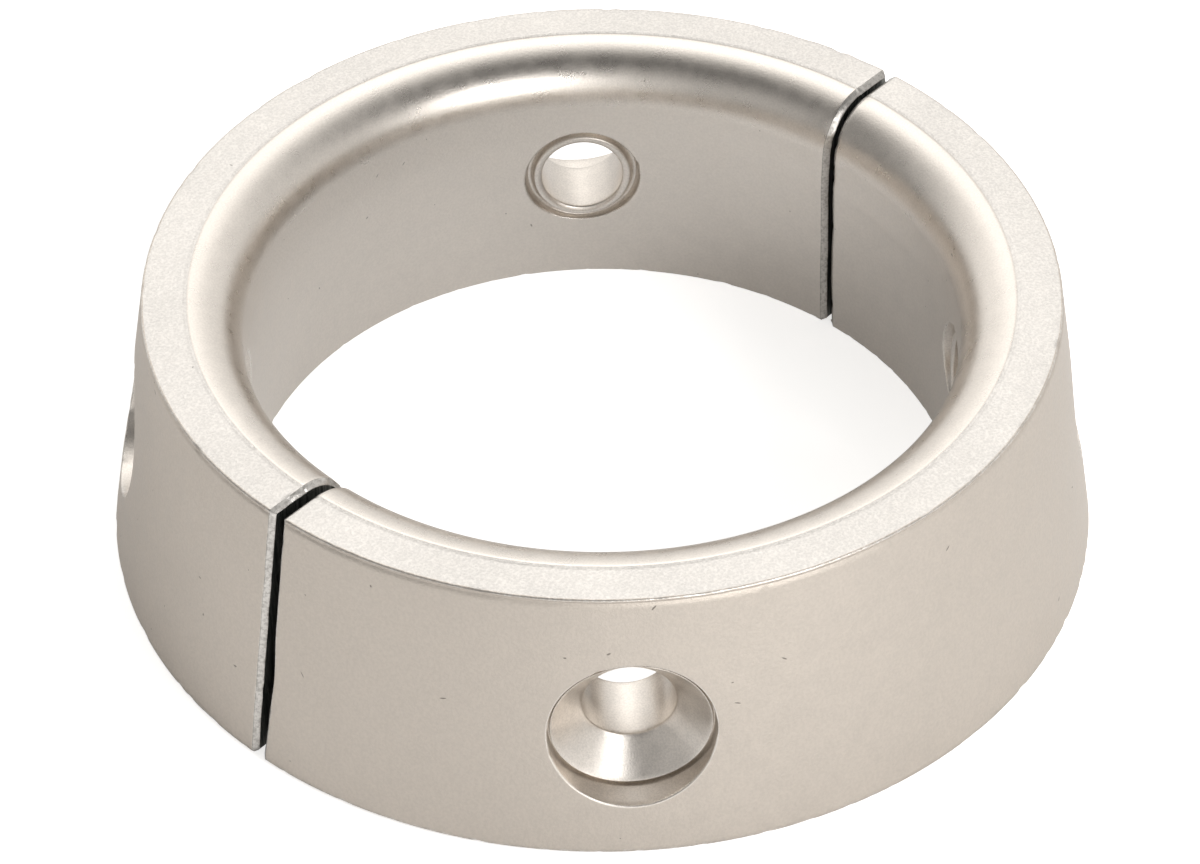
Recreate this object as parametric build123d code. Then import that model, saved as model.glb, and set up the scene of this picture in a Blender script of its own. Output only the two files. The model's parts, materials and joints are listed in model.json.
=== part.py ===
"""Split collar anode: two equal cast halves of a tapered ring, each with two countersunk radial holes.

Millimetres. The ring stands on its big end: +Z runs along the bore towards the small end, the origin is the
centre of the bore on the base, and the halves face each other across the plane Y = 0 with a small gap.
"""

import os
from math import cos, radians, sin, tan

from build123d import *

# Bore: a short land that grips, with a bell mouth above it and casting draft below it
land_diameter = 85.4
land_length = 6.0
bell_mouth_radius = 5.8
bore_draft_angle = 2.5

# Ring, with its two wall thicknesses measured outward from the land
height = 34.6
base_wall = 17.3
small_end_wall = 11.7
base_chamfer = 0.45

# Fine line left in the small end, just outside the bell mouth, where the core met the mould
core_line_offset = 0.7
core_line_width = 0.3
core_line_depth = 0.12

# Cut between the halves
split_gap = 1.2
cut_edge_bevel = 0.6

# Screw holes, on horizontal axes, two to a half
hole_height = 16.2
hole_angle = 45.0
screw_diameter = 8.0
screw_clearance = 2.4
hole_land_length = 4.1
hole_draft_angle = 3.0
seat_diameter = 18.3
seat_angle = 90.0
seat_depth = 1.9
mouth_clearance = 0.7

# Spot recess round each hole, inside the bore
recess_diameter = 14.2
recess_depth = 0.6
recess_wall_angle = 25.0

# Sizes that follow from the ones above
land_radius = land_diameter / 2
lip_radius = land_radius + bell_mouth_radius
base_radius = land_radius + base_wall
small_end_radius = land_radius + small_end_wall
land_top = height - bell_mouth_radius
land_bottom = land_top - land_length
bore_base_radius = land_radius + land_bottom * tan(radians(bore_draft_angle))
bore_radius_at_holes = land_radius + max(land_bottom - hole_height, 0) * tan(radians(bore_draft_angle))
cone_radius_at_holes = base_radius - (base_radius - small_end_radius) * hole_height / height
hole_radius = (screw_diameter + screw_clearance) / 2


def ring_section():
    """Half section of the ring, right of the Z axis, with the bell mouth as a true arc."""
    arc_middle = (
        lip_radius - bell_mouth_radius * cos(radians(45)),
        land_top + bell_mouth_radius * sin(radians(45)),
    )
    with BuildSketch(Plane.XZ) as section:
        with BuildLine():
            Polyline(
                (land_radius, land_top),
                (land_radius, land_bottom),
                (bore_base_radius, 0),
                (base_radius, 0),
                (small_end_radius, height),
                (lip_radius, height),
            )
            ThreePointArc((lip_radius, height), arc_middle, (land_radius, land_top))
        make_face()
    return section.sketch


def turned(points):
    """Solid of revolution about Z from a closed outline of (radius, height) points."""
    with BuildSketch(Plane.XZ) as outline:
        with BuildLine():
            Polyline(*points, close=True)
        make_face()
    return revolve(outline.sketch, Axis.Z)


def base_chamfer_cut():
    """Ring of waste that bevels the outer corner of the base."""
    outside = base_radius + base_chamfer
    return turned([
        (base_radius - base_chamfer, 0),
        (outside, 2 * base_chamfer),
        (outside, -base_chamfer),
        (base_radius - base_chamfer, -base_chamfer),
    ])


def core_line_cut():
    """Ring of waste for the fine V-shaped line in the small end."""
    middle = lip_radius + core_line_offset
    flare = core_line_width / core_line_depth / 2
    above = height + core_line_depth
    return turned([
        (middle, height - core_line_depth),
        (middle + 2 * core_line_depth * flare, above),
        (middle - 2 * core_line_depth * flare, above),
    ])


def hole_cut():
    """Waste of one screw hole on the X axis, from the conical outside through to the bore."""
    seat_radius = seat_diameter / 2
    seat_plane = cone_radius_at_holes - seat_depth
    recess_floor = bore_radius_at_holes + recess_depth
    draft_start = recess_floor + hole_land_length
    flare = tan(radians(seat_angle / 2))
    draft = tan(radians(hole_draft_angle))
    # the drafted length ends where it meets the countersink
    draft_length = (seat_radius - hole_radius - (seat_plane - draft_start) * flare) / (draft - flare)
    recess_radius = recess_diameter / 2
    recess_reach = 4 * recess_depth
    inside = recess_floor - recess_reach
    with BuildSketch(Plane.XY) as outline:
        with BuildLine():
            Polyline(
                (inside, 0),
                (inside, recess_radius + recess_reach * tan(radians(recess_wall_angle))),
                (recess_floor, recess_radius),
                (recess_floor, hole_radius),
                (draft_start, hole_radius),
                (draft_start + draft_length, hole_radius + draft_length * draft),
                (seat_plane, seat_radius),
                (seat_plane, seat_radius + mouth_clearance / 2),
                (base_radius + seat_depth, seat_radius + mouth_clearance / 2),
                (base_radius + seat_depth, 0),
                close=True,
            )
        make_face()
    return Pos(0, 0, hole_height) * revolve(outline.sketch, Axis.X)


def front_half():
    """The half on the -Y side: a half ring with bevelled cut edges, then its holes and fine lines."""
    ring = revolve(ring_section(), Axis.Z)
    side = Pos(0, -base_radius - split_gap / 2, height / 2) * Box(4 * base_radius, 2 * base_radius, 2 * height)
    half = ring & side
    cut_faces = half.faces().filter_by(Axis.Y)
    half = chamfer([edge for face in cut_faces for edge in face.edges()], cut_edge_bevel)
    hole = hole_cut()
    half -= [Rot(0, 0, angle) * hole for angle in (-90 - hole_angle, -90 + hole_angle)]
    half -= base_chamfer_cut()
    half -= core_line_cut()
    return half


os.makedirs("parts", exist_ok=True)
front = front_half()
rear = Rot(0, 0, 180) * front
export_step(front, "parts/front_half_collar.step")
export_step(rear, "parts/rear_half_collar.step")
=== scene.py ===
import json
from math import cos, pi, radians, sin, tan

import bmesh
import bpy
import numpy as np
from mathutils import Matrix, Vector, kdtree, noise


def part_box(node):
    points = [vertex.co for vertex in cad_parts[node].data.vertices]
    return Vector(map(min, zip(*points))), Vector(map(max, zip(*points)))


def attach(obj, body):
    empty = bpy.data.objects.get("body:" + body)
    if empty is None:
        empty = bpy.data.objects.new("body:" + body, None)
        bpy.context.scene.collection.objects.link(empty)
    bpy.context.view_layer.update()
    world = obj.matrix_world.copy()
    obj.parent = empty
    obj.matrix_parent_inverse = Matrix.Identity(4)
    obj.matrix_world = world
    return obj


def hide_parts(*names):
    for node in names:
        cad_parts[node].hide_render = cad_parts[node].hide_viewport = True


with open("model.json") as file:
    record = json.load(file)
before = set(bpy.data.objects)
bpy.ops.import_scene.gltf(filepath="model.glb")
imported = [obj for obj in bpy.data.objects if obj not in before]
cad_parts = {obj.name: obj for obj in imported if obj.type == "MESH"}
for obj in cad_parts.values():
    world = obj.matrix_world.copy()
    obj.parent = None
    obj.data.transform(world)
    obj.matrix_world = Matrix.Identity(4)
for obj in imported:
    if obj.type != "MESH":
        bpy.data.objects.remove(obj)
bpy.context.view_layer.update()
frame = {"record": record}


# ---------------------------------------------------------------- half collars: the ring they are parted from
# Two equal halves of a tapered zinc alloy ring, cast in a metal mould round a core. The bore grips on a short
# land; above it a bell mouth opens to the small end, and below it the bore widens by its casting draft.

MM = 0.001
mounts = {mount["name"]: mount for mount in frame["record"]["mounts"]}
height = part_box("rear_half_collar")[1].z
land_radius = mounts["bore"]["dims"]["r_mm"] * MM
land_length = mounts["bore"]["dims"]["length_mm"] * MM
land_top = mounts["bore"]["pos_m"][2] + land_length / 2
land_bottom = land_top - land_length
bell_radius = height - land_top
bell_depth = 6.8 * MM
bore_draft = tan(radians(2.5))
base_radius = land_radius + 17.3 * MM
small_end_radius = land_radius + 11.7 * MM
taper = (base_radius - small_end_radius) / height
base_chamfer = 0.45 * MM
rim_rounding = 0.3 * MM
foot_rounding = 0.35 * MM
burr_width = 0.42 * MM
burr_overhang = 0.11 * MM
burr_corner_in, burr_corner_down = 0.8, 0.25
burr_hollow_up = 0.35
core_line_radius = land_radius + bell_radius + 0.7 * MM
core_line_width = 0.3 * MM
core_line_depth = 0.12 * MM
lip_radius = core_line_radius - core_line_width / 2

# The skin is a grid: rows up and down the section, and columns round the half. On the cone and in the bore a
# square block of it is left open round each screw hole.
columns = 328
block = 56
hole_columns = (columns // 4, 3 * columns // 4)
bell_rows = 30
end_face_rows = 12
rim_rows = 4
chamfer_rows = 2
base_rows = 26
foot_rows = 3


def cone_radius(z):
    return base_radius - taper * z


def bore_radius(z):
    return land_radius + np.maximum(land_bottom - z, 0) * bore_draft


def stepped(start, end, steps):
    """Points in equal steps from start up to, and not including, end."""
    share = np.arange(steps)[:, None] / steps
    return np.array(start) + share * (np.array(end) - np.array(start))


def arc(centre, reach, rise, first, last, steps):
    """Points on an arc, reach wide and rise high, between two angles in degrees, without the last."""
    angle = np.radians(first + (last - first) * np.arange(steps) / steps)
    return np.array(centre) + np.stack([reach * np.cos(angle), rise * np.sin(angle)], 1)


def ring_profile():
    """The ring's section in runs of (name, finish, points), once round from the foot of the bore.

    Each point is (radius, height). Under the rim the cone is hollowed a little, so that a burr hangs over it,
    whose corner and hollow are set by shares of its overhang and its width.
    """
    foot = (bore_radius(foot_rounding), foot_rounding)
    foot_centre = (foot[0] + foot_rounding, foot_rounding)
    land_foot = (land_radius, land_bottom)
    bell_foot = (land_radius, height - bell_depth)
    draft_rows = int(round(block * (land_bottom - foot_rounding) / (bell_foot[1] - foot_rounding)))
    lip = (lip_radius, height)
    core_line_bottom = (core_line_radius, height - core_line_depth)
    core_line_edge = (core_line_radius + core_line_width / 2, height)
    cone_top = (cone_radius(height - rim_rounding), height - rim_rounding)
    rim_centre = (cone_top[0] - rim_rounding, cone_top[1])
    burr_foot = cone_top[1] - burr_width
    hollow = burr_foot + burr_width * burr_hollow_up
    burr = [
        cone_top,
        (cone_top[0] - burr_overhang * burr_corner_in, cone_top[1] - burr_width * burr_corner_down),
        (cone_radius(hollow) - burr_overhang, hollow),
    ]
    cone_foot = (cone_radius(base_chamfer), base_chamfer)
    base_edge = (base_radius - base_chamfer, 0)
    bell_centre = (lip_radius, bell_foot[1])
    return [
        ("draft", "bore", stepped(foot, land_foot, draft_rows)),
        ("land", "bore", stepped(land_foot, bell_foot, block - draft_rows)),
        ("bell", "bell", arc(bell_centre, lip_radius - land_radius, bell_depth, 180, 90, bell_rows)),
        ("core line", "end_face", stepped(lip, core_line_bottom, 1)),
        ("core line's edge", "end_face", stepped(core_line_bottom, core_line_edge, 1)),
        ("end face", "end_face", stepped(core_line_edge, (rim_centre[0], height), end_face_rows)),
        ("rim", "cone", arc(rim_centre, rim_rounding, rim_rounding, 90, 0, rim_rows)),
        ("burr", "cone", np.array(burr)),
        ("cone", "cone", stepped((cone_radius(burr_foot), burr_foot), cone_foot, block)),
        ("chamfer", "cone", stepped(cone_foot, base_edge, chamfer_rows)),
        ("base", "base", stepped(base_edge, (foot_centre[0], 0), base_rows)),
        ("foot", "bore", arc(foot_centre, foot_rounding, foot_rounding, 270, 180, foot_rows)),
    ]


class Shell:
    """Points and quads of one half as they are made, each quad with the name of its finish."""

    def __init__(self):
        self.points, self.faces, self.finishes, self.edges = [], [], [], []

    def add_points(self, rows_of_points):
        """Adds an array of points and returns their numbers in an array of the same shape."""
        flat = np.asarray(rows_of_points, float).reshape(-1, 3)
        first = sum(len(p) for p in self.points)
        self.points.append(flat)
        return first + np.arange(len(flat)).reshape(np.shape(rows_of_points)[:-1])

    def add_faces(self, faces, finish):
        self.faces += [tuple(int(n) for n in face) for face in faces]
        self.finishes += [finish] * len(faces)

    def bridge(self, loop, following, finish):
        """Quads between two closed loops of equally many points."""
        after = np.roll(loop, -1)
        self.add_faces(np.stack([loop, after, np.roll(following, -1), following], 1), finish)


split_gap = 1.2 * MM
cut_bevel = 0.6 * MM
cut_rounding = 0.1 * MM
skin_start = split_gap / 2 + cut_bevel + cut_rounding / 2

profile_runs = ring_profile()
profile = np.concatenate([points for run, finish, points in profile_runs])
row_finish = [finish for run, finish, points in profile_runs for point in points]
rows = len(profile)
run_ends = np.cumsum([len(points) for run, finish, points in profile_runs])
first_row = {run: end - len(points) for end, (run, finish, points) in zip(run_ends, profile_runs)}
cone_row = first_row["cone"]

edge_angle = np.arcsin(skin_start / profile[:, 0])[:, None]
azimuth = edge_angle + np.linspace(0, 1, columns + 1)[None, :] * (pi - 2 * edge_angle)
ring_points = np.stack([
    profile[:, 0, None] * np.cos(azimuth),
    profile[:, 0, None] * np.sin(azimuth),
    np.repeat(profile[:, 1, None], columns + 1, 1),
], 2)

shell = Shell()
grid = shell.add_points(ring_points)
in_block = np.zeros((rows, columns), bool)
for middle in hole_columns:
    for block_row in (0, cone_row):
        in_block[block_row:block_row + block, middle - block // 2:middle + block // 2] = True
rim_middle = first_row["rim"] + rim_rows // 2
foot_middle = first_row["foot"] + foot_rows // 2
for edge_row in (rim_middle, first_row["chamfer"], first_row["base"], foot_middle):
    shell.edges.append(grid[edge_row])
for row in range(rows):
    below, above = grid[row], grid[(row + 1) % rows]
    quads = np.stack([below[:-1], below[1:], above[1:], above[:-1]], 1)
    shell.add_faces(quads[~in_block[row]], row_finish[row])


# ---------------------------------------------------------------- half collars: screw holes
# Each is cored from both sides for an M8 screw: a countersunk seat sunk square into the cone, with a groove
# round its foot, then a drafted bore with a short straight length. Where it comes out in the ring's bore is a
# shallow spot recess, with a low bead round the hole and a groove round the bead.

screw_hole = mounts["rear_right_screw_hole"]
hole_height = screw_hole["pos_m"][2]
hole_radius = screw_hole["dims"]["r_mm"] * MM
hole_land = screw_hole["dims"]["length_mm"] * MM
hole_draft = tan(radians(1.5))
hole_rounding = 0.16 * MM
recess_floor = bore_radius(hole_height) + 0.6 * MM
recess_radius = 7.05 * MM
recess_flare = tan(radians(16))
bead_height = 0.42 * MM
bead_lead_in = 0.15 * MM
bead_inner_slope = 0.55 * MM
bead_setback = 0.85 * MM
bead_groove_depth = 0.6 * MM
bead_groove_width = 0.5 * MM
seat_radius = 9.15 * MM
seat_plane = cone_radius(hole_height) - 1.9 * MM
seat_slope = 1.0
mouth_radius = 9.5 * MM
mouth_rounding = 0.22 * MM
seat_groove_depth = 0.8 * MM
seat_groove_draft = 0.03 * MM
seat_groove_setback = 0.05 * MM
land_end = recess_floor + hole_land
# the seat's cone runs in until it meets the drafted bore
cone_over_hole = seat_radius - hole_radius - (seat_plane - land_end) * seat_slope
draft_end = land_end + cone_over_hole / (hole_draft - seat_slope)
draft_end_radius = hole_radius + (draft_end - land_end) * hole_draft

path_step = 0.5 * MM
longest_rounding_share = 0.4
cone_rings = 18
bore_rings = 14
ring_crowding = 1.25
settling_rounds = 12


def rounded_path(corners, rounding, step):
    """(distance, radius) points along straight runs between corners, with each inner corner rounded."""
    corners = [Vector(corner) for corner in corners]
    stops = [corners[0]]
    for before, corner, after in zip(corners, corners[1:], corners[2:]):
        back, onward = (before - corner).normalized(), (after - corner).normalized()
        shorter_run = min((before - corner).length, (after - corner).length)
        reach = min(rounding, shorter_run * longest_rounding_share)
        start, end = corner + back * reach, corner + onward * reach
        stops += [start, start * 0.25 + corner * 0.5 + end * 0.25, end]
    stops.append(corners[-1])
    path = []
    for here, there in zip(stops, stops[1:]):
        steps = max(1, int(round((there - here).length / step)))
        path += [here.lerp(there, k / steps) for k in range(steps)]
    return path + [stops[-1]]


hole_path = rounded_path([
    (seat_plane, mouth_radius),
    (seat_plane - seat_groove_depth, mouth_radius - seat_groove_draft),
    (seat_plane - seat_groove_depth, seat_radius + seat_groove_setback),
    (seat_plane, seat_radius),
    (draft_end, draft_end_radius),
    (land_end, hole_radius),
    (recess_floor - bead_lead_in, hole_radius),
    (recess_floor - bead_height, hole_radius + bead_inner_slope),
    (recess_floor - bead_height, recess_radius - bead_setback),
    (recess_floor + bead_groove_depth, recess_radius - bead_groove_width),
    (recess_floor + bead_groove_depth, recess_radius),
    (recess_floor - hole_rounding, recess_radius + hole_rounding * recess_flare),
], hole_rounding, path_step)


def block_border(bottom_row, top_row, middle):
    """(row, column) of the grid points round a block, from its low corner at the smaller azimuth."""
    first, last = middle - block // 2, middle + block // 2
    up = np.linspace(bottom_row, top_row, block + 1).astype(int)
    along_bottom = [(bottom_row, i) for i in range(first, last)]
    up_last = [(j, last) for j in up[:-1]]
    along_top = [(top_row, i) for i in range(last, first, -1)]
    down_first = [(j, first) for j in up[:0:-1]]
    return along_bottom + up_last + along_top + down_first


def add_hole(middle):
    """One screw hole: the skin round its mouth, its wall from outside in, the skin round its recess."""
    angle = pi * middle / columns
    outward = np.array([cos(angle), sin(angle), 0])
    sideways = np.array([-sin(angle), cos(angle), 0])
    up = np.array([0, 0, 1])
    outer = block_border(cone_row + block, cone_row, middle)
    inner = block_border(0, block, middle)
    outer_azimuth = np.array([azimuth[j, i] for j, i in outer])
    outer_height = np.array([profile[j, 1] for j, i in outer])
    turn = np.arctan2(outer_height - hole_height, (outer_azimuth - angle) * cone_radius(outer_height))
    everywhere = np.ones(len(turn))

    def on_axis(distance, radius):
        across = radius * np.cos(turn)
        rise = hole_height + radius * np.sin(turn)
        return distance[:, None] * outward + across[:, None] * sideways + rise[:, None] * up

    def skin_distance(skin, radius):
        return np.sqrt(skin(hole_height + radius * np.sin(turn)) ** 2 - (radius * np.cos(turn)) ** 2)

    def skin_patch(skin, border, radius, rings, finish):
        """Loops on the cone or the bore, from the block's border in to a circle round the hole."""
        border_azimuth = np.array([azimuth[j, i] for j, i in border])
        border_height = np.array([profile[j, 1] for j, i in border])
        z = hole_height + radius * np.sin(turn)
        a = angle + np.arcsin(radius * np.cos(turn) / skin(z))
        loop = np.array([grid[j, i] for j, i in border])
        for share in 1 - (1 - np.arange(1, rings + 1) / rings) ** ring_crowding:
            heights = border_height + share * (z - border_height)
            angles = border_azimuth + share * (a - border_azimuth)
            r = skin(heights)
            following = shell.add_points(np.stack([r * np.cos(angles), r * np.sin(angles), heights], 1))
            shell.bridge(loop, following, finish)
            loop = following
        return loop

    def wall(loop, distance, radius):
        """One more ring of the hole's wall, joined to the ring before it."""
        following = shell.add_points(on_axis(distance, radius))
        shell.bridge(loop, following, "hole")
        return following

    rounded_mouth = (mouth_radius + mouth_rounding) * everywhere
    loop = skin_patch(cone_radius, outer, rounded_mouth, cone_rings, "cone")
    for bend in (30, 60, 90):
        radius = mouth_radius + mouth_rounding * (1 - sin(radians(bend)))
        depth = mouth_rounding * (1 - cos(radians(bend)))
        loop = wall(loop, skin_distance(cone_radius, radius) - depth, radius * everywhere)
    shell.edges.append(loop)

    start = skin_distance(cone_radius, mouth_radius) - mouth_rounding
    for share in (0.2, 0.4, 0.6, 0.8):
        loop = wall(loop, start + share * (hole_path[0].x - start), mouth_radius * everywhere)
    for distance, radius in hole_path:
        loop = wall(loop, distance * everywhere, radius * everywhere)

    # the recess's wall flares, so where it meets the bore's curve is found in a few rounds
    recess_mouth = recess_radius * everywhere
    for _ in range(settling_rounds):
        depth = recess_floor - skin_distance(bore_radius, recess_mouth)
        recess_mouth = recess_radius + depth * recess_flare
    last = hole_path[-1]
    for share in (0.3, 0.6, 0.9):
        radius = last.y + share * (recess_mouth - last.y)
        distance = last.x + share * (skin_distance(bore_radius, recess_mouth) - last.x)
        loop = wall(loop, distance, radius)
    shell.edges.append(loop)
    skin = skin_patch(bore_radius, inner, recess_mouth + hole_rounding, bore_rings, "bore")
    shell.bridge(loop, skin, "hole")


for middle in hole_columns:
    add_hole(middle)


# ---------------------------------------------------------------- half collars: cut faces
# The ring was parted by a thick saw and the corners broken with a file, so each half ends in two flat faces
# with a narrow, slightly uneven bevel all round.

# the bevel is laid on the section without its core line and burr, which are too fine to set back from
plain = profile.copy()
plain[first_row["core line"]:first_row["rim"], 1] = height
burr_rows = slice(first_row["burr"], cone_row)
plain[burr_rows, 0] = cone_radius(plain[burr_rows, 1])
bevel_shares = (0.05, 0.5, 0.95, 1.1)
strip_rows = 8


def inward_normals():
    """Unit normals of the section's plain outline, pointing into the metal."""
    along = np.roll(plain, -1, 0) - np.roll(plain, 1, 0)
    into = np.stack([-along[:, 1], along[:, 0]], 1)
    middle = np.array([[(land_radius + base_radius) / 2, height / 2]])
    into *= np.where(((middle - profile) * into).sum(1) < 0, -1, 1)[:, None]
    return into / np.linalg.norm(into, axis=1)[:, None]


def inset_outline(depth):
    """The section's outline moved into the metal, without the core line and the burr."""
    near, far = land_radius + depth, height - depth
    moved = profile + inward_normals() * depth
    moved[:, 1] = np.clip(moved[:, 1], depth, far)
    moved[:, 0] = np.clip(moved[:, 0], near, cone_radius(moved[:, 1]) - depth)
    return moved


def add_cut_face(column, side):
    """The bevel round one cut face, then the flat face itself. side is 1 at the +X end, -1 at the -X end."""
    loop = grid[:, column]
    for share in bevel_shares:
        depth = cut_bevel * share
        y = split_gap / 2 + cut_bevel * max(1 - share, 0)
        outline = inset_outline(depth)
        x = side * np.sqrt(outline[:, 0] ** 2 - y ** 2)
        following = shell.add_points(np.stack([x, np.full(rows, y), outline[:, 1]], 1))
        shell.bridge(loop, following, "cut_edge")
        loop = following
        shell.edges.append(loop)
    inner_rows = list(range(strip_rows, block, strip_rows))
    cone_heights = profile[cone_row:cone_row + block, 1]
    outer_rows = [cone_row + int(np.argmin(abs(cone_heights - profile[j, 1]))) for j in inner_rows]
    strips = [list(range(outer_rows[0], rows)) + list(range(inner_rows[0] + 1))]
    for low, high, low_out, high_out in zip(inner_rows, inner_rows[1:], outer_rows, outer_rows[1:]):
        strips.append(list(range(low, high + 1)) + list(range(high_out, low_out + 1)))
    strips.append(list(range(inner_rows[-1], outer_rows[-1] + 1)))
    shell.add_faces([loop[strip] for strip in strips], "cut")


add_cut_face(0, 1)
add_cut_face(columns, -1)


# ---------------------------------------------------------------- half collars: metal
# The zinc is cast in a steel mould and left as it comes: a pale, warm grey skin with a fine grain, smoother
# where the core was polished and rubbed bright along its edges. The cone's skin is painted darker, as painted
# shade, and the end face paler, as painted light. The saw's streaked cut and the filed bevel round it are
# painted dark: painted shade of the slit.

def add_node(tree, kind, inputs=None, **settings):
    """A new node with its settings, and its inputs set to values or joined to sockets."""
    node = tree.nodes.new(kind if kind.startswith("NodeGroup") else "ShaderNode" + kind)
    for key, value in settings.items():
        setattr(node, key, value)
    for key, value in (inputs or {}).items():
        if isinstance(value, bpy.types.NodeSocket):
            tree.links.new(value, node.inputs[key])
        else:
            node.inputs[key].default_value = value
    return node


def reckon(tree, operation, *values):
    """The outcome of a Math node on values or sockets."""
    return add_node(tree, "Math", dict(enumerate(values)), operation=operation).outputs[0]


def ease(tree, value, start, end, low=0.0, high=1.0):
    """A smooth change from low to high as the value goes from start to end."""
    inputs = {"Value": value, "From Min": start, "From Max": end, "To Min": low, "To Max": high}
    return add_node(tree, "MapRange", inputs, interpolation_type="SMOOTHSTEP").outputs[0]


def blend(tree, share, first, second):
    """A colour between two colours."""
    first, second = ((*c, 1) if isinstance(c, tuple) else c for c in (first, second))
    return add_node(tree, "Mix", {0: share, 6: first, 7: second}, data_type="RGBA").outputs[2]


def noise_value(tree, vector, scale, detail, roughness):
    """Noise that goes from about 0 to 1 in steps of 1/scale metres."""
    inputs = {"Vector": vector, "Scale": scale, "Detail": detail, "Roughness": roughness}
    value = add_node(tree, "TexNoise", inputs).outputs[0]
    return ease(tree, value, 0.28, 0.72)


def new_effect(name, takes, gives):
    """An empty node group with named inputs at their usual values, and the names of what it puts out."""
    tree = bpy.data.node_groups.new(name, "ShaderNodeTree")
    for label, value in takes.items():
        socket = tree.interface.new_socket(label, in_out="INPUT", socket_type="NodeSocketFloat")
        socket.default_value = value
    for label in gives:
        tree.interface.new_socket(label, in_out="OUTPUT", socket_type="NodeSocketFloat")
    return tree, add_node(tree, "NodeGroupInput").outputs, add_node(tree, "NodeGroupOutput").inputs


def put_out(tree, outlets, **values):
    """Joins each named value to the group's output of that name."""
    for label, value in values.items():
        tree.links.new(value, outlets[label])


def cast_grain():
    """The grain of cast zinc, and the soft clouds and blotches of its skin."""
    gives = ("Grain", "Blotch", "Cloud")
    tree, given, outlets = new_effect("cast_grain", {"Grains per m": 3000.0}, gives)
    place = add_node(tree, "TexCoord").outputs["Object"]
    put_out(tree, outlets,
            Grain=noise_value(tree, place, given["Grains per m"], 2.0, 0.65),
            Blotch=noise_value(tree, place, 420.0, 4.0, 0.6),
            Cloud=noise_value(tree, place, 55.0, 3.0, 0.55))
    return tree


mean_radius = 55 * MM
mark_cells_per_m = 190.0
about_a_turn = 6.3
shortest_mark, longest_mark = 0.1 * MM, 0.45 * MM
narrowest_mark, widest_mark = 0.07 * MM, 0.13 * MM


def handling_marks():
    """Short nicks and pin holes, one to a cell of the unrolled skin and missing from most cells.

    The skin is unrolled by its length round the ring, and across it by Rise times height plus Reach times
    radius.
    """
    takes = {"Rise": 1.0, "Reach": -1.0, "Share": 0.3}
    tree, given, outlets = new_effect("handling_marks", takes, ("Mark",))
    place = add_node(tree, "SeparateXYZ", {0: add_node(tree, "TexCoord").outputs["Object"]}).outputs
    round_ring = reckon(tree, "MULTIPLY", reckon(tree, "ARCTAN2", place[1], place[0]), mean_radius)
    y_squared = reckon(tree, "MULTIPLY", place[1], place[1])
    radius = reckon(tree, "SQRT", reckon(tree, "MULTIPLY_ADD", place[0], place[0], y_squared))
    outward = reckon(tree, "MULTIPLY", radius, given["Reach"])
    over = reckon(tree, "MULTIPLY_ADD", place[2], given["Rise"], outward)
    unrolled = add_node(tree, "CombineXYZ", {0: round_ring, 1: over}).outputs[0]
    cell_inputs = {"Vector": unrolled, "Scale": mark_cells_per_m}
    cells = add_node(tree, "TexVoronoi", cell_inputs, voronoi_dimensions="2D").outputs
    chance = add_node(tree, "SeparateColor", {0: cells["Color"]}).outputs
    offset = {0: unrolled, 1: cells["Position"]}
    from_middle = add_node(tree, "VectorMath", offset, operation="SUBTRACT").outputs[0]
    turn = {"Vector": from_middle, "Angle": reckon(tree, "MULTIPLY", chance[0], about_a_turn)}
    turned = add_node(tree, "VectorRotate", turn, rotation_type="Z_AXIS").outputs[0]
    local = add_node(tree, "SeparateXYZ", {0: turned}).outputs
    length = ease(tree, chance[1], 0.3, 1.0, shortest_mark, longest_mark)
    width = ease(tree, chance[0], 0.0, 1.0, narrowest_mark, widest_mark)
    along = reckon(tree, "DIVIDE", local[0], length)
    across = reckon(tree, "DIVIDE", local[1], width)
    across_squared = reckon(tree, "MULTIPLY", across, across)
    off = reckon(tree, "MULTIPLY_ADD", along, along, across_squared)
    present = reckon(tree, "LESS_THAN", chance[2], given["Share"])
    put_out(tree, outlets, Mark=reckon(tree, "MULTIPLY", ease(tree, off, 1.3, 0.3), present))
    return tree


def rubbed_edges():
    """How far an edge is rubbed bright, from the distance to the edge in mm."""
    tree, given, outlets = new_effect("rubbed_edges", {"Width": 0.4}, ("Rubbed",))
    place = add_node(tree, "TexCoord").outputs["Object"]
    distance = add_node(tree, "Attribute", attribute_name="edge_mm").outputs["Fac"]
    patchy = noise_value(tree, place, 260.0, 3.0, 0.7)
    ragged = noise_value(tree, place, 2200.0, 2.0, 0.6)
    reach = reckon(tree, "MULTIPLY", given["Width"], reckon(tree, "MULTIPLY_ADD", patchy, 1.0, 0.35))
    ragged_distance = reckon(tree, "MULTIPLY_ADD", ragged, reckon(tree, "MULTIPLY", reach, 0.8), distance)
    put_out(tree, outlets, Rubbed=ease(tree, ragged_distance, reckon(tree, "MULTIPLY", reach, 1.3), 0.0))
    return tree


effects = {"grain": cast_grain(), "marks": handling_marks(), "edges": rubbed_edges()}

zinc_colour = (0.78, 0.73, 0.675)
rubbed_colour = (0.86, 0.83, 0.79)
# dark colour of the marks: painted shade in their dents
mark_painted_shade = (0.16, 0.15, 0.135)
mark_depth = 0.03 * MM
roughness_spread = 0.03
saw_drag = (1.0, 1.0, 0.05)
# the streaks' colours are dark: painted shade of the slit between the halves
painted_shade_dark_streak = (0.05, 0.055, 0.05)
painted_shade_light_streak = (0.3, 0.3, 0.28)
streak_depth = 0.04 * MM


def new_metal(name):
    """A new metal material: itself, its nodes, and its shader's inputs."""
    material = bpy.data.materials.new(name)
    material.use_nodes = True
    tree = material.node_tree
    shader = tree.nodes["Principled BSDF"]
    shader.inputs["Metallic"].default_value = 1
    return material, tree, shader.inputs


def join_bump(tree, inlets, lift):
    """Raises the surface by lift, in metres."""
    bump = add_node(tree, "Bump", {"Height": lift, "Distance": 1.0})
    tree.links.new(bump.outputs[0], inlets["Normal"])


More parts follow.
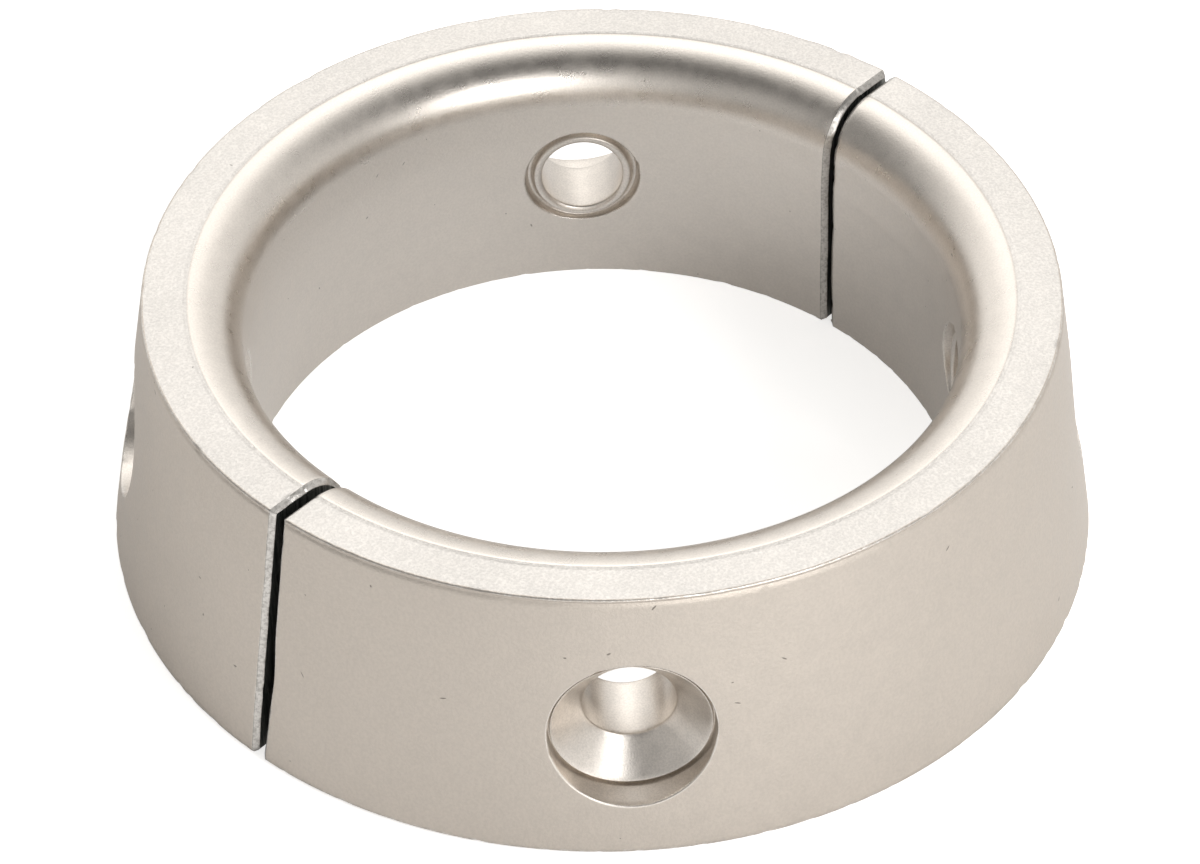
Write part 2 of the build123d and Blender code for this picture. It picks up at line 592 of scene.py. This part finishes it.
def zinc(name, colour, roughness, grains, grain_depth, mottle, unrolled, mark_share, edge_width):
    """A cast finish.

    grains is the number of grains to a metre, mottle how far the colour strays, unrolled the Rise and Reach
    by which marks are laid on this skin, mark_share the share of cells with a mark, and edge_width the width
    in mm of its rubbed edges.
    """
    material, tree, inlets = new_metal(name)
    grain = add_node(tree, "Group", {"Grains per m": grains}, node_tree=effects["grain"]).outputs
    rise, reach = unrolled
    laid_out = {"Rise": rise, "Reach": reach, "Share": mark_share}
    mark = add_node(tree, "Group", laid_out, node_tree=effects["marks"]).outputs["Mark"]
    rubbed = add_node(tree, "Group", {"Width": edge_width}, node_tree=effects["edges"]).outputs["Rubbed"]

    pale = tuple(min(c * (1 + mottle), 1) for c in colour)
    dull = tuple(c * (1 - mottle) for c in colour)
    tone = reckon(tree, "MULTIPLY_ADD", grain["Grain"], 0.5, reckon(tree, "MULTIPLY", grain["Blotch"], 0.3))
    tone = reckon(tree, "MULTIPLY_ADD", grain["Cloud"], 0.2, tone)
    skin = blend(tree, tone, dull, pale)
    skin = blend(tree, reckon(tree, "MULTIPLY", rubbed, 0.8), skin, rubbed_colour)
    # the marks are coloured dark: painted shade in their dents, which the bump also sinks
    skin = blend(tree, reckon(tree, "MULTIPLY", mark, 0.6), skin, mark_painted_shade)
    tree.links.new(skin, inlets["Base Color"])

    low, high = roughness - roughness_spread, roughness + roughness_spread
    rough = ease(tree, grain["Blotch"], 0.0, 1.0, low, high)
    rough = reckon(tree, "MULTIPLY_ADD", rubbed, -0.1, rough)
    rough = reckon(tree, "MULTIPLY_ADD", mark, 0.25, rough)
    tree.links.new(rough, inlets["Roughness"])

    dent = reckon(tree, "MULTIPLY", mark, -mark_depth)
    join_bump(tree, inlets, reckon(tree, "MULTIPLY_ADD", grain["Grain"], grain_depth, dent))
    return material


def saw_cut_painted_shade():
    """The face that the saw leaves, with streaks down it, coloured dark: painted shade of the slit between
    the halves.
    """
    material, tree, inlets = new_metal("saw_cut_painted_shade")
    place = add_node(tree, "TexCoord").outputs["Object"]
    drawn_out = add_node(tree, "VectorMath", {0: place, 1: saw_drag}, operation="MULTIPLY").outputs[0]
    streak = noise_value(tree, drawn_out, 1900.0, 2.0, 0.6)
    tree.links.new(blend(tree, streak, painted_shade_dark_streak, painted_shade_light_streak), inlets["Base Color"])
    tree.links.new(ease(tree, streak, 0.0, 1.0, 0.6, 0.42), inlets["Roughness"])
    join_bump(tree, inlets, reckon(tree, "MULTIPLY", streak, streak_depth))
    return material


finishes = {
    # the cone's colour is the zinc made darker: painted shade
    "cone": zinc(
        "cone_skin_painted_shade", (0.655, 0.594, 0.53), roughness=0.42, grains=2600.0, grain_depth=0.016 * MM,
        mottle=0.07, unrolled=(1.0, -1.0), mark_share=0.08, edge_width=0.3),
    # the end face's colour is the zinc made paler: painted light, over a coarser grain of its own
    "end_face": zinc(
        "end_face_skin_painted_light", (0.82, 0.79, 0.755), roughness=0.5, grains=3000.0, grain_depth=0.03 * MM,
        mottle=0.17, unrolled=(0.0, 1.0), mark_share=0.06, edge_width=0.2),
    "bell": zinc(
        "bell_skin", zinc_colour, roughness=0.3, grains=4200.0, grain_depth=0.007 * MM,
        mottle=0.11, unrolled=(-1.0, -1.0), mark_share=0.04, edge_width=0.0),
    "bore": zinc(
        "bore_skin", zinc_colour, roughness=0.36, grains=2800.0, grain_depth=0.012 * MM,
        mottle=0.06, unrolled=(1.0, 0.0), mark_share=0.12, edge_width=0.15),
    "hole": zinc(
        "hole_skin", zinc_colour, roughness=0.34, grains=4200.0, grain_depth=0.006 * MM,
        mottle=0.16, unrolled=(1.0, 1.0), mark_share=0.0, edge_width=0.15),
    # the filed bevel is coloured dark: painted shade of the slit between the halves
    "cut_edge": zinc(
        "filed_edge_painted_shade", (0.38, 0.36, 0.335), roughness=0.42, grains=3000.0, grain_depth=0.01 * MM,
        mottle=0.1, unrolled=(1.0, 1.0), mark_share=0.1, edge_width=0.06),
    "cut": saw_cut_painted_shade(),
    "base": zinc(
        "base_skin", (0.7, 0.66, 0.61), roughness=0.52, grains=1500.0, grain_depth=0.02 * MM,
        mottle=0.1, unrolled=(0.0, 1.0), mark_share=0.2, edge_width=0.4),
}


# ---------------------------------------------------------------- half collars: the two castings
# Both halves come from one mould, and the rear one is the front one turned half a turn. Each has a slight
# unevenness of its own, nicks along its edges, and worn or knocked stretches where the saw wandered.

# reach and depths in mm, and how close the sway and the nicks lie, in steps to a metre
edge_reach = 4
sway_per_m = 70
sway_depth = 0.022
least_wear = 0.006
nicks_per_m = 620
nick_offset = Vector((3, 7, 1))
nick_threshold = 0.22
nick_depth = 0.3
nick_reach = 0.7


def skin_wear(place, edge_distance):
    """How far a real casting's skin lies below its true surface here: a little sway, and nicks at edges."""
    sway = 0.5 + 0.5 * noise.noise(place * sway_per_m)
    near_edge = max(1 - edge_distance / nick_reach, 0)
    nick = max(noise.noise(place * nicks_per_m + nick_offset) - nick_threshold, 0) * near_edge
    return (least_wear + sway_depth * sway + nick_depth * nick) * MM


# in mm: how far the saw strayed, how much nearer the edges of the slit at the +X end stand, and how far from
# the cut that wander has faded out
saw_wander = 0.06
wander_per_m = 260
slit_lead = 0.26
wander_fade = 2.5

# (which half: 1 rear, -1 front; end: 1 or -1; height of the spot's middle, its half length and its depth, in
# mm, with a depth below zero where the metal stands out)
worn_cut_spots = [
    (-1, -1, 12.5, 6.0, 0.36),
    (-1, -1, 0.5, 5.0, -0.28),
    (1, -1, 1.0, 3.5, -0.1),
    (1, 1, 30.0, 5.0, -0.12),
    (-1, 1, 9.0, 7.0, -0.15),
    (1, 1, 6.0, 5.0, 0.1),
]


def cut_wander(x, y, z):
    """How far the cut stands back from its true plane here, in y, by the saw's wander and worn spots."""
    half, end = (1 if y > 0 else -1), (1 if x > 0 else -1)
    stray = noise.noise(Vector((z * wander_per_m, end * 3, half * 5)))
    back = saw_wander * stray - (slit_lead if end > 0 else 0)
    for spot_half, spot_end, middle, length, depth in worn_cut_spots:
        if (half, end) == (spot_half, spot_end):
            back += depth * max(1 - ((z / MM - middle) / length) ** 2, 0) ** 2
    from_cut = abs(y) / MM - split_gap / 2 / MM
    fade = min(max(1 - from_cut / wander_fade, 0), 1)
    return half * back * fade * MM


def edge_distances(points, used):
    """Distance in mm of each used point from the nearest edge that is worn, up to edge_reach."""
    along_edges = kdtree.KDTree(2 * sum(len(loop) for loop in shell.edges))
    for loop in shell.edges:
        for here, there in zip(loop, loop[1:]):
            along_edges.insert(points[here], 0)
            along_edges.insert((points[here] + points[there]) / 2, 0)
    along_edges.balance()
    return [min(along_edges.find(point)[2] / MM, edge_reach) for point in points[used]]


def half_collar(name, node, turn):
    """One half as an object: the shell turned into place and worn, with its finishes and smooth shading."""
    points = np.concatenate(shell.points)
    used = np.zeros(len(points), bool)
    for face in shell.faces:
        used[list(face)] = True
    renumbered = np.cumsum(used) - 1
    c, s = cos(turn), sin(turn)
    x, y, z = points.T
    points = np.stack([c * x - s * y, s * x + c * y, z], 1)
    edge_distance = edge_distances(points, used)
    points = points[used]

    mesh = bpy.data.meshes.new(name)
    faces = [[int(renumbered[n]) for n in face] for face in shell.faces]
    mesh.from_pydata(points.tolist(), [], faces)
    order = list(finishes)
    for finish in order:
        mesh.materials.append(finishes[finish])
    mesh.polygons.foreach_set("material_index", [order.index(finish) for finish in shell.finishes])
    work = bmesh.new()
    work.from_mesh(mesh)
    bmesh.ops.recalc_face_normals(work, faces=work.faces)
    work.to_mesh(mesh)
    work.free()

    normals = np.empty(len(points) * 3)
    mesh.vertex_normals.foreach_get("vector", normals)
    depths = [skin_wear(Vector(point), distance) for point, distance in zip(points, edge_distance)]
    points = points - normals.reshape(-1, 3) * np.array(depths)[:, None]
    points[:, 1] += [cut_wander(x, y, z) for x, y, z in points.tolist()]
    mesh.vertices.foreach_set("co", points.ravel())
    mesh.attributes.new("edge_mm", "FLOAT", "POINT").data.foreach_set("value", edge_distance)
    mesh.shade_smooth()

    piece = bpy.data.objects.new(name, mesh)
    bpy.context.scene.collection.objects.link(piece)
    weighted = piece.modifiers.new("weighted_normals", "WEIGHTED_NORMAL")
    weighted.weight = 80
    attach(piece, "root")
    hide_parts(node)


half_collar("rear_half", "rear_half_collar", 0)
half_collar("front_half", "front_half_collar", pi)


# ---------------------------------------------------------------- floor
# A sheet of white acrylic, lit a little from below as on a studio table, so that only a faint shadow is left
# round the foot of the ring.

floor_reach = 3
floor_glow = 0.12
extra_glow_seen = 0.58

floor_mesh = bpy.data.meshes.new("floor")
corners = [(floor_reach * x, floor_reach * y, 0) for x, y in ((-1, -1), (1, -1), (1, 1), (-1, 1))]
floor_mesh.from_pydata(corners, [], [(0, 1, 2, 3)])
floor = bpy.data.objects.new("floor", floor_mesh)
bpy.context.scene.collection.objects.link(floor)
white_acrylic = bpy.data.materials.new("white_acrylic")
white_acrylic.use_nodes = True
tree = white_acrylic.node_tree
shader = tree.nodes["Principled BSDF"]
shader.inputs["Base Color"].default_value = (0.65, 0.65, 0.65, 1)
shader.inputs["Roughness"].default_value = 0.9
shader.inputs["Emission Color"].default_value = (1, 0.99, 0.975, 1)
seen = add_node(tree, "LightPath").outputs["Is Camera Ray"]
glow = reckon(tree, "MULTIPLY_ADD", seen, extra_glow_seen, floor_glow)
tree.links.new(glow, shader.inputs["Emission Strength"])
floor_mesh.materials.append(white_acrylic)


# ---------------------------------------------------------------- light
# A dark room with a white backdrop and soft lamps: a broad one high at the back and low ones all round. A
# table lamp throws the faint shadow, and a small white card lights the near seat. It is dark above the low
# lamps behind the camera, which draws the dark band in the bell mouth.

view_azimuth = radians(-138.3)
view_turn = -pi / 2 - view_azimuth
lamp_colour = (1.0, 0.985, 0.96)
room_colour = (0.01, 0.01, 0.01, 1)

# (side, height, tightness, strength): side 0 is straight behind the ring as it is viewed, 90 to the right
lamps = [
    (-2, 63, 10.0, 1.6),
    (38, 16, 3.2, 0.86),
    (99, 6, 7.0, 0.51),
    (150, 0, 13.0, 3.0),
    (-176, 15, 7.9, 0.68),
    (-126, 19, 12.9, 0.46),
    (-40, 17, 4.8, 0.95),
]

world = bpy.data.worlds.new("studio")
bpy.context.scene.world = world
world.use_nodes = True
tree = world.node_tree
tree.nodes.clear()
outward = add_node(tree, "TexCoord").outputs["Generated"]
turned_to_view = {"Vector": outward, "Angle": view_turn}
direction = add_node(tree, "VectorRotate", turned_to_view, rotation_type="Z_AXIS").outputs[0]
total = add_node(tree, "RGB").outputs[0]
total.default_value = room_colour
for side, rise, tightness, strength in lamps:
    flat = cos(radians(rise))
    towards = (sin(radians(side)) * flat, cos(radians(side)) * flat, sin(radians(rise)))
    directions = {0: direction, 1: towards}
    facing = add_node(tree, "VectorMath", directions, operation="DOT_PRODUCT").outputs["Value"]
    fall = reckon(tree, "EXPONENT", reckon(tree, "MULTIPLY_ADD", facing, tightness, -tightness))
    lamp_light = {0: [strength * c for c in lamp_colour], "Scale": fall}
    lit = add_node(tree, "VectorMath", lamp_light, operation="SCALE").outputs[0]
    total = add_node(tree, "VectorMath", {0: total, 1: lit}, operation="ADD").outputs[0]
seen = add_node(tree, "LightPath").outputs["Is Camera Ray"]
shown = blend(tree, seen, total, (1.0, 1.0, 1.0))
background = add_node(tree, "Background", {"Color": shown})
add_node(tree, "OutputWorld", {"Surface": background.outputs[0]})
bpy.context.scene.view_settings.view_transform = "Standard"


def flat_lamp(name, aim, side, rise, distance, size, energy):
    """A flat lamp that faces the point aim from a side and a height, hidden from the camera."""
    data = bpy.data.lights.new(name, "AREA")
    data.shape = "RECTANGLE"
    data.size, data.size_y = size
    data.energy = energy
    lamp = bpy.data.objects.new(name, data)
    bpy.context.scene.collection.objects.link(lamp)
    around = radians(90 - side) - view_turn
    flat = cos(radians(rise))
    towards = Vector((cos(around) * flat, sin(around) * flat, sin(radians(rise))))
    lamp.location = Vector(aim) + towards * distance
    lamp.rotation_euler = towards.to_track_quat("Z", "Y").to_euler()
    lamp.visible_camera = False
    return lamp


near_seat = mounts["front_left_screw_hole"]["pos_m"]
table_lamp = flat_lamp("table_lamp", (0, 0, 0), side=120, rise=38, distance=1.2, size=(0.45, 0.45),
                       energy=9.7)
table_lamp.visible_glossy = False
flat_lamp("white_card", near_seat, side=137, rise=41, distance=0.15, size=(0.1, 0.05), energy=0.06)


# ---------------------------------------------------------------- camera
# A long lens looks down on the ring from half a metre away. It aims a little above the middle of the foot and
# is turned and rolled by a fraction of a degree. The focal length and the width are counted in pixels.

view_elevation = radians(42.68)
view_distance = 0.5247
pan, tilt, roll = radians(-0.030), radians(0.858), radians(-0.133)
focal_length_px = 4240.3
picture_width_px = 1200
sensor_width_mm = 36

away = -Vector((
    cos(view_azimuth) * cos(view_elevation),
    sin(view_azimuth) * cos(view_elevation),
    sin(view_elevation),
))
right = Vector((-sin(view_azimuth), cos(view_azimuth), 0))
up = right.cross(away)
aim = (away * cos(pan) * cos(tilt) + right * sin(pan) + up * sin(tilt)).normalized()
level = aim.cross(up).normalized()
upright = level.cross(aim)
side = level * cos(roll) + upright * sin(roll)
top = upright * cos(roll) - level * sin(roll)

camera_data = bpy.data.cameras.new("camera")
camera_data.sensor_width = sensor_width_mm
camera_data.lens = focal_length_px / picture_width_px * sensor_width_mm
camera = bpy.data.objects.new("camera", camera_data)
bpy.context.scene.collection.objects.link(camera)
turned = Matrix((side, top, -aim)).transposed().to_4x4()
camera.matrix_world = Matrix.Translation(-away * view_distance) @ turned
bpy.context.scene.camera = camera
